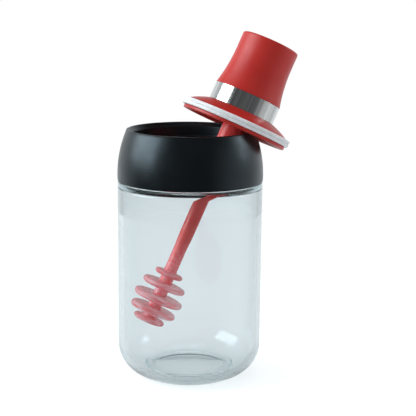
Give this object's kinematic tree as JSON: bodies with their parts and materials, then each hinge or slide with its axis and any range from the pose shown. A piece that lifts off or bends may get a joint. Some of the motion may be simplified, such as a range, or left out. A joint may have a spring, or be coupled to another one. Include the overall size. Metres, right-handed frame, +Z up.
{
  "type": "honey dispenser",
  "caption": "Clear glass honey jar with a screw collar and a lifted-out lid whose knob carries a grooved honey dipper.",
  "frame": {"origin": "centre of the jar's foot, on the table", "axes": "+Z up along the jar's axis, +X to the right of the front view, -Y towards the viewer"},
  "size_m": [0.0891, 0.0729, 0.1723],
  "materials": {
    "clear_glass": "clear, polished",
    "black_plastic": "satin",
    "red_plastic": "satin",
    "dipper_plastic": "smooth",
    "seal_silicone": "translucent, matt",
    "gasket_silicone": "matt",
    "polished_steel": "bright, finely brushed round"
  },
  "bodies": {
    "jar": {"glass_jar": "clear_glass"},
    "gasket": {"mouth_gasket": "gasket_silicone"},
    "collar": {"screw_collar": "black_plastic"},
    "lid": {"lid_base": "red_plastic", "lid_seal": "seal_silicone", "steel_band": "polished_steel", "knob_shell": "red_plastic", "dipper": "dipper_plastic"}
  },
  "joints": [
    {"name": "follow_gasket", "type": "slide", "parent": "jar", "child": "gasket", "axis": [0, 0, 1], "range_m": [0, 0.0053]},
    {"name": "unscrew_collar", "type": "hinge", "parent": "gasket", "child": "collar", "pos_m": [0, 0, 0.112], "axis": [0, 0, 1], "range_deg": [0, 450]},
    {"name": "lift_lid", "type": "slide", "parent": "collar", "child": "lid", "axis": [0.1967, 0.0674, 0.9781], "range_m": [0, 0.125]}
  ],
  "couplings": [
    {"joint": "follow_gasket", "follows": "unscrew_collar", "m_per_rad": 0.00066845}
  ]
}
